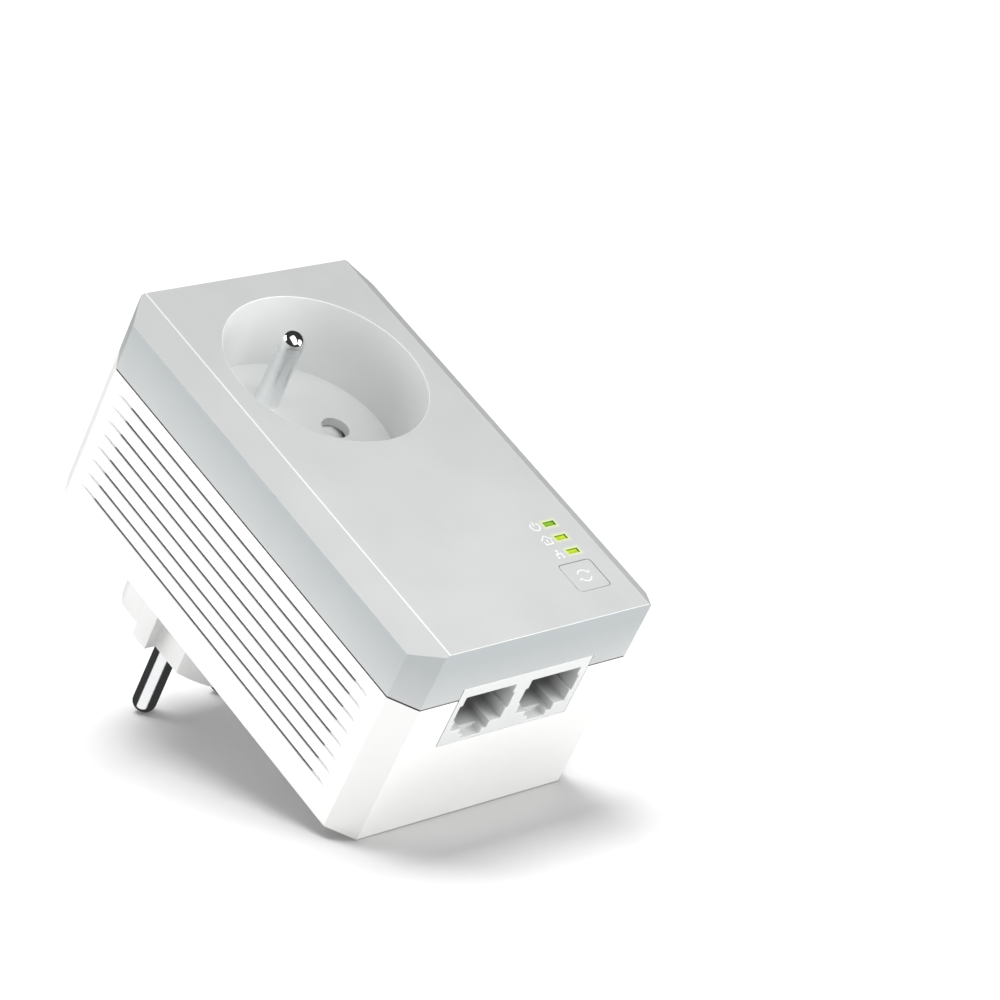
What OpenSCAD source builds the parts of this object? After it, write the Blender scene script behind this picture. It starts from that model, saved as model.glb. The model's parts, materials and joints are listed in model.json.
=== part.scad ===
// Pass-through powerline adapter: a wall plug at the back, an earthed socket in the
// front, two network ports at the lower end, three status lights and a push button.
// X runs across, Y from the front face towards the wall, Z up from the port end.
// The row's origin is midway between the plug pins, on the plug's end face.

/* [Case] */
// Overall width
case_w = 57.6; // [56:0.2:64]
// Overall height, from the port end to the socket end
case_h = 97; // [96:1:104]
// Depth from the front face to the rear face
case_d = 46; // [46:0.5:50]
// Depth of the front cover, to the seam
cover_d = 13.2; // [13:0.1:13.6]
// Wall thickness of both shells
wall = 2.2; // [2:0.1:2.4]
// Width of the bevel along each long edge of the front face
bevel_w = 4.9; // [4.4:0.1:5]
// Depth of that bevel
bevel_d = 3; // [2.6:0.1:3.2]
// Width of the cut corners across the case
corner_x = 4.1; // [3.8:0.1:4.4]
// Length of the cut corners along the height
corner_z = 4.8; // [4.4:0.1:5]
// Gap that shows between the two shells
seam_gap = 0.35; // [0.2:0.05:0.5]

/* [Vents] */
// Slots in each side
vent_count = 8; // [5:1:8]
// Distance between neighbouring slots
vent_pitch = 3.22; // [3.1:0.01:3.25]
// Depth of the first slot behind the front face
vent_first = 16.8; // [16.7:0.1:17.2]
// Width of a slot
vent_w = 0.6; // [0.5:0.05:0.9]
// Depth of the shallow run-out groove at each end of a slot
groove_depth = 0.5; // [0.3:0.1:0.8]

/* [Socket] */
// Radius of the socket well
well_r = 20; // [19.75:0.05:20.2]
// Depth of the well, to its floor
well_d = 16.7; // [16.5:0.1:17]
// Height of the socket and plug axis above the port end
axis_z = 70.5; // [70:0.1:71]
// Distance between the two line contacts
contact_pitch = 19; // [19:1:19]
// Distance of the earth pin above the axis
earth_offset = 10; // [10:1:10]
// Radius of every round pin
pin_r = 2.4; // [2.4:0.1:2.4]
// Radius of the contact holes in the well floor
hole_r = 2.75; // [2.7:0.05:2.8]
// Depth of the earth pin's tip behind the front face
earth_tip = 0.1; // [0:0.1:1]

/* [Plug] */
// Radius of the plug barrel
plug_r = 18.4; // [18.2:0.1:18.5]
// Distance that the barrel stands out of the rear face
plug_h = 19.5; // [18:0.5:20]
// Free length of the plug pins
pin_len = 20.7; // [20:0.1:21]
// Distance from the axis to the two flats
plug_flat = 15.7; // [15.4:0.1:16]
// Width of the rib along the middle of each flat
plug_rib = 4.4; // [4:0.1:5]

/* [Ports] */
// Distance between the middles of the two ports
port_pitch = 15.7; // [15:0.1:15.8]
// Width of the jack's face
jack_w = 31.2; // [31:0.1:31.6]
// Depth of the jack's front side behind the front face
jack_y = 10.8; // [10.8:0.1:11]
// Size of the jack from front to back
jack_d = 14.2; // [14.2:0.1:14.4]

/* [Controls] */
// Width of the push button
button_w = 7.6; // [7:0.1:8]
// Height of the push button
button_h = 6.8; // [6:0.1:7]
// Corner radius of the push button
button_corner = 0.7; // [0.4:0.1:1]
// Travel of the push button
button_travel = 0.5; // [0.3:0.05:0.6]
// Gap around the push button
button_gap = 0.15; // [0.1:0.05:0.2]
// Middle of the push button across the face
button_x = 15.9; // [15.6:0.1:16]
// Middle of the push button above the port end
button_z = 9.8; // [9.8:0.1:10]
// Middle of the status lights across the face
light_x = 17.9; // [17.5:0.1:18]
// Middle of the lowest status light above the port end
light_z = 15.8; // [15.7:0.1:16]
// Distance between neighbouring status lights
light_pitch = 3.65; // [3.6:0.05:3.7]
// Width of a status light
light_w = 2.6; // [2.4:0.1:2.8]
// Height of a status light
light_h = 1.1; // [0.9:0.1:1.2]

/* [Shutter] */
// Travel of the safety shutter
shutter_travel = 6.2; // [6:0.1:6.3]
// Half the height of the shutter's two blocks
shutter_half = 3.4; // [3.2:0.1:3.4]

/* [Hidden] */
STATUS = ["power", "home", "network"];
$fn = 64;

half_w = case_w / 2;
plug_face = case_d + plug_h;
pin_tip = plug_face + pin_len;
contact_x = contact_pitch / 2;
housing_y = cover_d + seam_gap;

// Lip of the front cover that closes the seam from inside
lip_inset = 1.4;
lip_len = 2;
lip_play = 0.1;

// Pins are thinner where they are held in plastic
shank_r = pin_r - 0.3;
held_r = shank_r + 0.02;

// Earth sleeve in the plug barrel, set back behind a wider mouth
sleeve_r = 3.1;
sleeve_inset = 0.6;
sleeve_bore = 2.45;
sleeve_mouth = 2.8;

// Angle between the rings of points on a rounded pin end
tip_step = 6;

// Depths of the layers behind the socket floor
tube_wall = 1.5;
floor_t = 2;
floor_back = well_d + floor_t;
shutter_y = floor_back + 0.3;
shutter_d = 6;
pocket_back = shutter_y + shutter_d + 0.3;
slide_play = 0.2;
bar_top = -1;
spring_top = 7.4;
spring_y = 3.75;
coil_r = 1.75;
frame_back = pocket_back + 1.8;
strip_t = 0.8;
contact_front = frame_back + 0.2;
strip_y = 39.2;
bus_y = 41;
flange_y = 42.2;
module_r = well_r + tube_wall;
ear_x = 23.6;
ear_r = 2.6;
ear_y = well_d + 0.7;

// Boards
board_t = 1.6;
main_y = 8.6;
jack_post = [11, 12];
main_back = main_y + board_t;
power_y = 40;
board_half = 25.2;
board_bottom = 2.8;
board_top = 47.4;
board_notch_x = 19.4;
board_notch_z = 9.2;
main_post = [23, [17.8, 43.8]];
power_post = [22.4, [14, 43.6]];

// Case screws
screw_x = 23.2;
screw_z = [5.2, case_h - 5.2];
screw_seat = 28;
boss_meet = 24;
screw_r = 1.3;

// Grey, white and metal colours
COVER = [0.80, 0.82, 0.82];
WHITE = [0.95, 0.95, 0.94];
JACK = [0.86, 0.87, 0.87];
STEEL = [0.80, 0.80, 0.82];
BRASS = [0.78, 0.62, 0.32];
BOARD = [0.10, 0.36, 0.20];
BLACK = [0.10, 0.10, 0.11];

// Puts the case's own frame into the row's frame
module place() {
  translate([0, -plug_face, -axis_z]) children();
}

// Extrudes a drawing of X and Z from depth y0 to depth y1
module along_y(y0, y1) {
  translate([0, y1, 0]) rotate([90, 0, 0]) linear_extrude(y1 - y0) children();
}

// Extrudes a drawing of Y and Z from x0 to x1
module along_x(x0, x1) {
  translate([x0, 0, 0]) rotate([90, 0, 90]) linear_extrude(x1 - x0) children();
}

// A rod along Y from depth y0 to depth y1
module rod(x, z, y0, y1, r, r2 = undef) {
  translate([x, y0, z]) rotate([-90, 0, 0])
    cylinder(r1 = r, r2 = is_undef(r2) ? r : r2, h = y1 - y0);
}

// A box by its middle in X and Z and its two depths
module slab(x, z, w, h, y0, y1) {
  translate([x - w / 2, y0, z - h / 2]) cube([w, y1 - y0, h]);
}

// The two ends of a cut corner, moved inwards by a distance
function cut_ends(half, cut_x, cut_z, inset) =
  let (len = sqrt(cut_x * cut_x + cut_z * cut_z))
  [[half - cut_x - inset * (len - cut_x) / cut_z, inset],
   [half - inset, cut_z + inset * (len - cut_z) / cut_x]];

function mirrored(points) = [for (i = [len(points) - 1:-1:0]) [-points[i][0], points[i][1]]];

// Outline of the case from the front, moved inwards by a distance
module case_plan(inset = 0) {
  low = cut_ends(half_w, corner_x, corner_z, inset);
  high = [for (i = [1, 0]) [low[i][0], case_h - low[i][1]]];
  right = concat(low, high);
  polygon(concat(right, mirrored(right)));
}

// Section of the case across its height, from its front face to a depth
module case_section(inset, depth) {
  right = concat(cut_ends(half_w, bevel_w, bevel_d, inset), [[half_w - inset, depth]]);
  polygon(concat(right, mirrored(right)));
}

module cover_block(inset, depth) {
  intersection() {
    linear_extrude(case_h) case_section(inset, depth);
    along_y(-1, depth + 1) case_plan(inset);
  }
}

// A rectangle with round corners
module rounded(w, h, r) {
  square([w - 2 * r, h], center = true);
  square([w, h - 2 * r], center = true);
  for (x = [r - w / 2, w / 2 - r], z = [r - h / 2, h / 2 - r]) translate([x, z]) circle(r = r);
}

module at_screws() {
  for (x = [-screw_x, screw_x], z = screw_z) translate([x, 0, z]) children();
}

module at_posts(post) {
  for (x = [-post[0], post[0]], z = post[1]) translate([x, 0, z]) children();
}

// The opening that the jack's face fills in the port end
module jack_cutout() {
  gap = 0.12;
  translate([-jack_w / 2 - gap, jack_y - gap, -1])
    cube([jack_w + 2 * gap, jack_d + 2 * gap, wall + 2]);
}

// ---- casing ----

module front_cover() {
  window_play = 0.05;
  color(COVER) place() difference() {
    union() {
      difference() {
        cover_block(0, cover_d);
        cover_block(wall, cover_d + 1);
      }
      difference() {
        along_y(cover_d - 1, cover_d + lip_len) case_plan(lip_inset);
        along_y(cover_d - 2, cover_d + lip_len + 1) case_plan(wall);
      }
      rod(0, axis_z, 1, well_d, module_r);
      at_screws() rod(0, 0, 1.2, boss_meet, 2.2);
      at_posts(main_post) rod(0, 0, 1.2, main_y, 1.9);
      for (x = [-ear_x, ear_x]) rod(x, axis_z, 2, ear_y, 2.3);
    }
    rod(0, axis_z, -1, well_d + 1, well_r);
    rod(0, axis_z, well_d, floor_back + 1, module_r + 0.05);
    at_screws() rod(0, 0, 14, boss_meet + 1, screw_r + 0.05);
    at_posts(main_post) rod(0, 0, 4, main_y + 1, 0.95);
    for (x = [-ear_x, ear_x]) rod(x, axis_z, 10, floor_back + 1, 1.15);
    along_y(-1, wall + 1) translate([button_x, button_z])
      rounded(button_w + 2 * button_gap, button_h + 2 * button_gap, button_corner + button_gap);
    for (i = [0:2])
      slab(light_x, light_z + i * light_pitch, light_w + 2 * window_play,
        light_h + 2 * window_play, -1, wall + 1);
    jack_cutout();
  }
}

// One side slot with the shallow groove that runs out beyond its ends
module side_slot(y) {
  slot_z = [12.7, case_h - 11.8];
  groove_z = [8.3, case_h - 7.3];
  ramp = 2.2;
  translate([half_w - wall - 1, y - vent_w / 2, slot_z[0]])
    cube([wall + 2, vent_w, slot_z[1] - slot_z[0]]);
  translate([0, y + vent_w / 2, 0]) rotate([90, 0, 0]) linear_extrude(vent_w)
    polygon([[half_w + 1, groove_z[0]], [half_w, groove_z[0]],
      [half_w - groove_depth, groove_z[0] + ramp], [half_w - groove_depth, groove_z[1] - ramp],
      [half_w, groove_z[1]], [half_w + 1, groove_z[1]]]);
}

module rear_housing() {
  rear_wall = case_d - wall;
  label = [40, 30, 24];
  color(WHITE) place() difference() {
    union() {
      difference() {
        along_y(housing_y, case_d) case_plan(0);
        along_y(housing_y - 1, rear_wall) case_plan(wall);
      }
      at_screws() rod(0, 0, boss_meet, rear_wall + 1, 3.4);
      at_posts(power_post) rod(0, 0, power_y + board_t, rear_wall + 1, 2.1);
    }
    along_y(housing_y - 1, cover_d + lip_len + 2 * lip_play) case_plan(lip_inset - lip_play);
    at_screws() {
      rod(0, 0, boss_meet - 1, case_d + 1, screw_r + 0.3);
      rod(0, 0, screw_seat, case_d + 1, 2.7);
    }
    at_posts(power_post) rod(0, 0, power_y, rear_wall + 0.6, 0.95);
    rod(0, axis_z, rear_wall - 1, case_d + 1, plug_r + 0.1);
    for (i = [0:vent_count - 1], side = [0, 1])
      mirror([side, 0, 0]) side_slot(vent_first + i * vent_pitch);
    jack_cutout();
    slab(0, label[2], label[0], label[1], case_d - 0.25, case_d + 1);
  }
}

module rating_label() {
  color(STEEL) place() slab(0, 24, 39.6, 29.6, case_d - 0.25, case_d - 0.05);
}

module case_screws() {
  head_r = 2.5;
  head_t = 2;
  color(STEEL) place() at_screws() difference() {
    union() {
      rod(0, 0, screw_seat, screw_seat + head_t, head_r);
      rod(0, 0, screw_seat - 12, screw_seat, screw_r);
    }
    for (a = [0, 90]) translate([0, screw_seat + head_t, 0]) rotate([0, a, 0])
      cube([2.8, 2, 0.6], center = true);
  }
}

// ---- socket in the front ----

module socket_floor() {
  color(COVER) place() difference() {
    union() {
      rod(0, axis_z, well_d, floor_back, module_r);
      for (x = [-ear_x, ear_x]) rod(x, axis_z, ear_y, floor_back, ear_r);
    }
    for (x = [-contact_x, contact_x]) rod(x, axis_z, well_d - 1, floor_back + 1, hole_r);
    rod(0, axis_z + earth_offset, well_d - 1, floor_back + 1, held_r);
    for (x = [-ear_x, ear_x]) rod(x, axis_z, well_d, floor_back + 1, 1.2);
  }
}

module socket_earth_pin() {
  collar_r = 3.4;
  tail_r = 1.8;
  free = well_d - earth_tip;
  collar = [floor_back - earth_tip, floor_back - earth_tip + 1.2];
  color(STEEL) place() translate([0, earth_tip, axis_z + earth_offset]) rotate([-90, 0, 0])
    rotate_extrude() polygon(concat(
      [for (a = [0:tip_step:90]) [pin_r * sin(a), pin_r * (1 - cos(a))]],
      [[pin_r, free], [shank_r, free], [shank_r, collar[0]], [collar_r, collar[0]],
       [collar_r, collar[1]], [tail_r, collar[1]], [tail_r, bus_y - earth_tip],
       [0, bus_y - earth_tip]]));
}

// Two blocks joined by a bar. Each plug pin pushes on a block's ramp and lifts them both.
module safety_shutter() {
  block_x = [5.8, 13.2];
  bar_front = 1.9;
  flat_h = 1;
  ramp_d = 3.5;
  peg = [1.2, 1.4];
  color(JACK) place() translate([0, shutter_y, axis_z]) union() {
    for (m = [0, 1]) mirror([m, 0, 0]) along_x(block_x[0], block_x[1])
      polygon([[0, shutter_half - flat_h], [ramp_d, -shutter_half], [shutter_d, -shutter_half],
        [shutter_d, shutter_half], [0, shutter_half]]);
    translate([-block_x[0] - 1, bar_front, -shutter_half])
      cube([2 * block_x[0] + 2, shutter_d - bar_front, bar_top + shutter_half]);
    translate([0, spring_y, bar_top - 1]) cylinder(r = peg[0], h = peg[1] + 1);
  }
}

// One wire ring of a coil spring's sweep, at a share t of its length
function coil_ring(t, turns, coil_r, length, wire_r, sides) = [
  for (k = [0:sides - 1])
    let (a = 360 * turns * t, b = 360 * k / sides, rr = coil_r + wire_r * cos(b))
    [rr * cos(a), rr * sin(a), length * t + wire_r * sin(b)]
];

module shutter_spring() {
  turns = 5;
  steps = turns * 12;
  sides = 6;
  wire_r = 0.16;
  bottom = bar_top + wire_r + 0.02;
  top = spring_top - wire_r - 0.02;
  rings = [for (i = [0:steps]) each coil_ring(i / steps, turns, coil_r, top - bottom, wire_r, sides)];
  walls = [for (i = [0:steps - 1], k = [0:sides - 1])
    let (a = i * sides + k, b = i * sides + (k + 1) % sides)
    [a, a + sides, b + sides, b]];
  ends = [[for (k = [0:sides - 1]) k], [for (k = [sides - 1:-1:0]) steps * sides + k]];
  color(STEEL) place() translate([0, shutter_y + spring_y, axis_z + bottom])
    polyhedron(rings, concat(walls, ends));
}

// Holder behind the floor, with the pocket that the shutter slides in
module shutter_frame() {
  side_x = [5.6, 13.4];
  low = shutter_half + slide_play;
  spring_half = coil_r + 0.4;
  spring_front = shutter_y + spring_y - spring_half;
  color(JACK) place() difference() {
    union() {
      rod(0, axis_z, floor_back, frame_back, module_r);
      for (x = [-ear_x, ear_x]) rod(x, axis_z, floor_back, floor_back + 3, ear_r);
    }
    translate([-side_x[1], floor_back - 1, axis_z - low])
      cube([2 * side_x[1], pocket_back - floor_back + 1, low + bar_top + shutter_travel + slide_play]);
    for (m = [0, 1]) mirror([m, 0, 0]) translate([side_x[0], floor_back - 1, axis_z])
      cube([side_x[1] - side_x[0], pocket_back - floor_back + 1, low + shutter_travel]);
    translate([-spring_half, spring_front, axis_z])
      cube([2 * spring_half, pocket_back - spring_front, spring_top]);
    for (x = [-contact_x, contact_x]) rod(x, axis_z, floor_back, frame_back + 1, pin_r + 0.4);
    rod(0, axis_z + earth_offset, floor_back - 1, frame_back + 1, 1.85);
    rod(0, axis_z + earth_offset, floor_back - 1, floor_back + 1.25, 3.5);
    for (x = [-ear_x, ear_x]) rod(x, axis_z, floor_back - 1, frame_back, 1.2);
  }
}

module socket_screws() {
  seat = floor_back + 3;
  color(STEEL) place() for (x = [-ear_x, ear_x]) difference() {
    union() {
      rod(x, axis_z, seat, seat + 1.4, 2);
      rod(x, axis_z, seat - 10, seat, 1.1);
    }
    translate([x, seat + 1.4, axis_z]) cube([2.6, 1.2, 0.5], center = true);
  }
}

module contact_block() {
  chamber = 6;
  side_wall = 1.2;
  color(WHITE) place() for (x = [-contact_x, contact_x]) difference() {
    slab(x, axis_z, 2 * (chamber + side_wall), 13, contact_front - 0.2, strip_y - 0.1);
    slab(x, axis_z, 2 * chamber, 10.6, contact_front - 1, strip_y + 1);
  }
}

// Two sprung leaves on a strip that runs down to the power board
module line_contact(side) {
  leaf_t = 0.6;
  leaf_h = 7;
  mouth = 4.2;
  waist = 2.45;
  root = 2.7;
  strip_foot = 45;
  profile = [[root, strip_y + 0.1], [root, contact_front + 7], [waist, contact_front + 4],
    [mouth, contact_front + 0.4]];
  outline = concat(profile, [for (i = [3:-1:0]) profile[i] + [leaf_t, 0]]);
  color(BRASS) place() translate([side * contact_x, 0, 0]) {
    for (m = [0, 1]) mirror([m, 0, 0]) translate([0, 0, axis_z - leaf_h / 2])
      linear_extrude(leaf_h) polygon(outline);
    difference() {
      translate([-4, strip_y, strip_foot]) cube([8, strip_t, axis_z + 5 - strip_foot]);
      rod(0, 46, strip_y - 1, strip_y + 2, 1.3);
    }
  }
}

module live_contact() { line_contact(-1); }

module neutral_contact() { line_contact(1); }

// ---- plug at the back ----

// Section of the barrel: a circle with two flats, each with a rib along its middle
module plug_section() {
  difference() {
    circle(r = plug_r);
    for (m = [0, 1], n = [0, 1]) mirror([m, 0]) mirror([0, n])
      translate([plug_flat, plug_rib / 2]) square([6, 12]);
  }
}

module plug_body() {
  shell = 2.2;
  face_t = 3;
  collar = 0.8;
  strip_slot = [7, 17.1];
  cavity_r = plug_r - shell - 1;
  post_r = 4.2;
  color(WHITE) place() difference() {
    union() {
      rod(0, axis_z, flange_y, case_d - wall, module_r - 1);
      rod(0, axis_z, flange_y, case_d + collar, plug_r);
      translate([0, 0, axis_z]) along_y(case_d, plug_face) plug_section();
    }
    difference() {
      translate([0, 0, axis_z]) along_y(flange_y - 1, plug_face - face_t) intersection() {
        circle(r = cavity_r);
        square([2 * (plug_flat - shell), 4 * plug_r], center = true);
      }
      for (x = [-contact_x, contact_x]) rod(x, axis_z, flange_y, plug_face, post_r);
      rod(0, axis_z + earth_offset, flange_y, plug_face, post_r);
    }
    for (x = [-contact_x, contact_x]) rod(x, axis_z, flange_y - 1, plug_face + 1, held_r);
    rod(0, axis_z + earth_offset, flange_y - 1, plug_face - sleeve_inset, sleeve_r);
    rod(0, axis_z + earth_offset, plug_face - 1, plug_face + 1, sleeve_mouth);
    for (m = [0, 1]) translate([0, 0, axis_z]) mirror([0, 0, m])
      translate([-strip_slot[0] / 2, flange_y - 1, strip_slot[1]])
        cube([strip_slot[0], plug_face - flange_y - 1, 6]);
  }
}

module plug_pin(side) {
  round_d = 2.2;
  color(STEEL) place() translate([side * contact_x, 0, axis_z]) rotate([-90, 0, 0])
    rotate_extrude() polygon(concat(
      [[0, power_y], [shank_r, power_y], [shank_r, plug_face], [pin_r, plug_face]],
      [for (a = [90:-tip_step:0]) [pin_r * sin(a), pin_tip - round_d * (1 - cos(a))]]));
}

module live_plug_pin() { plug_pin(-1); }

module neutral_plug_pin() { plug_pin(1); }

module plug_earth_sleeve() {
  color(STEEL) place() difference() {
    rod(0, axis_z + earth_offset, bus_y + strip_t, plug_face - sleeve_inset, sleeve_r);
    rod(0, axis_z + earth_offset, case_d + 1, plug_face, sleeve_bore);
  }
}

module earth_busbar() {
  bus_half = 3;
  reach = 18;
  color(BRASS) place() difference() {
    slab(0, axis_z, 2 * bus_half, 2 * reach, bus_y, bus_y + strip_t);
    rod(0, axis_z - 6, bus_y - 1, bus_y + 2, 1.2);
  }
}

// A sprung strip on the outside of the barrel, bowed outwards
module earth_strip(side) {
  thick = 0.7;
  inner = 17.2;
  bow = 0.45;
  y0 = bus_y + strip_t;
  y1 = plug_face - 2.4;
  run = [for (s = [0:0.1:1])
    [y0 + (y1 - y0) * s, inner + (s < 0.3 ? 0 : bow * sin(180 * (s - 0.3) / 0.7))]];
  color(STEEL) place() translate([0, 0, axis_z]) mirror([0, 0, side < 0 ? 1 : 0])
    along_x(-3.2, 3.2)
      polygon(concat(run, [for (i = [len(run) - 1:-1:0]) run[i] + [0, thick]]));
}

module earth_strip_upper() { earth_strip(1); }

module earth_strip_lower() { earth_strip(-1); }

// ---- network ports ----

jack_len = 16;
port_depth = 13;
port_y = jack_y + 2.4;

latch_y = port_y + 10.1;

// Outline of one port in X and Y, from its wide side back to the latch
module port_outline() {
  right = [[5.95, 0], [5.95, 2.1], [6.5, 2.1], [6.5, 5.85], [6, 5.85], [6, 8.5], [3.4, 8.5],
    [3.4, 10.1]];
  translate([0, port_y]) polygon(concat(right, mirrored(right)));
}

module ethernet_jack() {
  tongue = [4.5, 1.15, 1.9];
  color(JACK) place() difference() {
    union() {
      translate([-jack_w / 2, jack_y, 0]) cube([jack_w, jack_d, jack_len]);
      for (x = [-jack_post[0], jack_post[0]]) {
        rod(x, jack_post[1], main_back, jack_y + 1, 1.6);
        rod(x, jack_post[1], main_y - 0.6, main_back + 1, 0.8);
      }
    }
    for (m = [0, 1]) mirror([m, 0, 0]) translate([port_pitch / 2, 0, -1]) {
      linear_extrude(port_depth + 1) port_outline();
      translate([-tongue[0] / 2, latch_y - 1, 0]) cube([tongue[0], tongue[1] + 1, tongue[2] + 1]);
    }
  }
}

// Eight sprung wires in each port, hanging from its wide side
module jack_contacts() {
  wire = 0.4;
  pitch = 1.02;
  slope = [[port_y, 3.4], [port_y + 2.9, 11.4], [port_y + 2.9, 12.8], [port_y + 2.5, 12.8],
    [port_y + 2.5, 11.5], [port_y + 0.4, 5.2], [port_y, 5.2]];
  color(BRASS) place() for (m = [0, 1], i = [0:7]) mirror([m, 0, 0])
    translate([port_pitch / 2 + (i - 3.5) * pitch, 0, 0]) along_x(-wire / 2, wire / 2)
      polygon(slope);
}

// ---- button and lights ----

switch_top = 5.1;
plunger_top = 4.1;

module pair_button() {
  flange = 0.5;
  color(COVER) place() union() {
    along_y(0.05, wall + 0.6) translate([button_x, button_z])
      rounded(button_w, button_h, button_corner);
    slab(button_x, button_z, button_w + 2 * flange, button_h + 2 * flange, wall + 0.1, wall + 1);
    rod(button_x, button_z, wall + 0.5, plunger_top, 2);
  }
}

module switch_plunger() {
  color(BLACK) place() rod(button_x, button_z, plunger_top, switch_top + 1.6, 1.7);
}

module switch_body() {
  color(STEEL) place() difference() {
    slab(button_x, button_z, 6, 6, switch_top, main_y);
    rod(button_x, button_z, switch_top - 1, switch_top + 2.6, 1.75);
  }
}

module light_pipe(i) {
  recess = 0.25;
  foot = [4.2, 2.6];
  color([0.62, 0.78, 0.22]) place() translate([0, 0, light_z + i * light_pitch]) union() {
    slab(light_x, 0, light_w, light_h, recess, wall + 0.5);
    slab(light_x, 0, foot[0], foot[1], wall, wall + 1);
    slab(light_x, 0, light_w - 0.4, light_h, wall + 0.5, main_y - 1);
  }
}

module led(i) {
  color([0.95, 0.93, 0.75]) place()
    slab(light_x, light_z + i * light_pitch, 1.6, 0.8, main_y - 0.8, main_y);
}

// ---- boards and what is on them ----

module board_plan(holes) {
  difference() {
    polygon(concat(
      [[board_notch_x, board_bottom], [board_notch_x, board_notch_z],
       [board_half, board_notch_z], [board_half, board_top]],
      mirrored([[board_notch_x, board_bottom], [board_notch_x, board_notch_z],
       [board_half, board_notch_z], [board_half, board_top]])));
    for (x = [-holes[0], holes[0]], z = holes[1]) translate([x, z]) circle(r = 1.1);
  }
}

module main_board() {
  color(BOARD) place() difference() {
    along_y(main_y, main_back) board_plan(main_post);
    for (x = [-jack_post[0], jack_post[0]])
      rod(x, jack_post[1], main_y - 1, main_back + 1, 0.85);
  }
}

module power_board() {
  color(BOARD) place() along_y(power_y, power_y + board_t) board_plan(power_post);
}

module post_screws(post, seat, into) {
  for (x = [-post[0], post[0]], z = post[1]) {
    rod(x, z, min(seat, seat + 1.4 * into), max(seat, seat + 1.4 * into), 1.9);
    rod(x, z, min(seat, seat - 3.6 * into), max(seat, seat - 3.6 * into), 0.9);
  }
}

module main_board_screws() {
  color(STEEL) place() post_screws(main_post, main_back, 1);
}

module power_board_screws() {
  color(STEEL) place() post_screws(power_post, power_y, -1);
}

modem_at = [-9, 35];
modem_t = 1.2;

module modem_chip() {
  side = 12;
  color(BLACK) place() slab(modem_at[0], modem_at[1], side, side, main_back, main_back + modem_t);
}

module heat_sink() {
  side = 16;
  fins = 6;
  fin_t = 1;
  pitch = (side - fin_t) / (fins - 1);
  base = main_back + modem_t;
  color([0.75, 0.76, 0.78]) place() union() {
    slab(modem_at[0], modem_at[1], side, side, base, base + 1.6);
    for (i = [0:fins - 1])
      slab(modem_at[0] + (i - (fins - 1) / 2) * pitch, modem_at[1], fin_t, side, base + 1, base + 6.4);
  }
}

module memory_chip() {
  at = [8, 41];
  size = [11, 6, 1];
  color(BLACK) place() slab(at[0], at[1], size[0], size[1], main_back, main_back + size[2]);
}

module crystal() {
  at = [6, 33];
  size = [5, 3.2, 0.9];
  color(STEEL) place() slab(at[0], at[1], size[0], size[1], main_back, main_back + size[2]);
}

module ethernet_transformers() {
  z = 21.2;
  size = [13, 7, 5.6];
  color(BLACK) place() for (x = [-port_pitch / 2, port_pitch / 2])
    slab(x, z, size[0], size[1], main_back, main_back + size[2]);
}

module coupling_transformer() {
  at = [17, 32];
  color([0.85, 0.78, 0.45]) place() union() {
    slab(at[0], at[1], 9, 8, main_back, main_back + 1.4);
    rod(at[0], at[1], main_back + 1, main_back + 6, 3.2);
    slab(at[0], at[1], 8, 7, main_back + 5.8, main_back + 7.2);
  }
}

// Plastic header with pins that joins the two boards
module board_header() {
  at = [-22, 27];
  count = 5;
  pitch = 2.5;
  pin = 0.64;
  color(BLACK) place() union() {
    slab(at[0], at[1], pitch, count * pitch, main_back, main_back + 2.5);
    for (i = [0:count - 1])
      slab(at[0], at[1] + (i - (count - 1) / 2) * pitch, pin, pin, main_back + 2, power_y);
  }
}

transformer_at = [-7, 33];

module power_transformer_core() {
  size = [20, 17];
  depth = [24, 36];
  window = [5.2, 4.4, 26.6, 33.4];
  color([0.25, 0.25, 0.27]) place() translate([transformer_at[0], 0, transformer_at[1]])
    difference() {
      slab(0, 0, size[0], size[1], depth[0], depth[1]);
      for (m = [-1, 1]) slab(0, m * window[0], size[0] + 1, window[1], window[2], window[3]);
    }
}

module power_transformer_winding() {
  coil = [12, 14.6, 26.7, 33.3];
  base = [14, 3.6];
  leg = 6.2;
  color([0.93, 0.85, 0.45]) place() translate([transformer_at[0], 0, transformer_at[1]])
    difference() {
      union() {
        slab(0, 0, coil[0], coil[1], coil[2], coil[3]);
        slab(0, 0, base[0], base[1], 36.1, power_y);
      }
      slab(0, 0, coil[0] + 1, leg, coil[2] - 1, coil[3] + 0.7);
    }
}

module bulk_capacitor() {
  at = [11, 19];
  r = 5;
  color([0.14, 0.16, 0.22]) place() translate([at[0], power_y - r - 0.2, at[1]])
    cylinder(r = r, h = 16);
}

module output_capacitors() {
  x = 21;
  length = 11;
  color([0.16, 0.2, 0.26]) place() for (z = [19, 26.5]) rod(x, z, power_y - length, power_y, 3.1);
}

module x_capacitor() {
  at = [11, 40];
  size = [13, 6, 11];
  color([0.9, 0.75, 0.2]) place() slab(at[0], at[1], size[0], size[1], power_y - size[2], power_y);
}

module y_capacitors() {
  z = 15.6;
  r = 3;
  color([0.25, 0.45, 0.75]) place() for (x = [-3.5, 3.5])
    translate([x, power_y - r - 0.2, z]) cylinder(r = r, h = 2.4);
}

module fuse() {
  at = [-21, 33];
  r = 1.35;
  color([0.85, 0.9, 0.88]) place() translate([at[0], power_y - r - 0.15, at[1]])
    cylinder(r = r, h = 8);
}

module varistor() {
  at = [20.7, 31];
  r = 4.2;
  color([0.2, 0.3, 0.65]) place() translate([at[0], power_y - r - 0.3, at[1]])
    cylinder(r = r, h = 3.6);
}

// The choke's ring: its middle, its outer and inner radius and its height
choke_at = [-14.5, power_y - 6.4, 14.2];
choke_r = [5.6, 3];
choke_h = 5;

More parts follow.
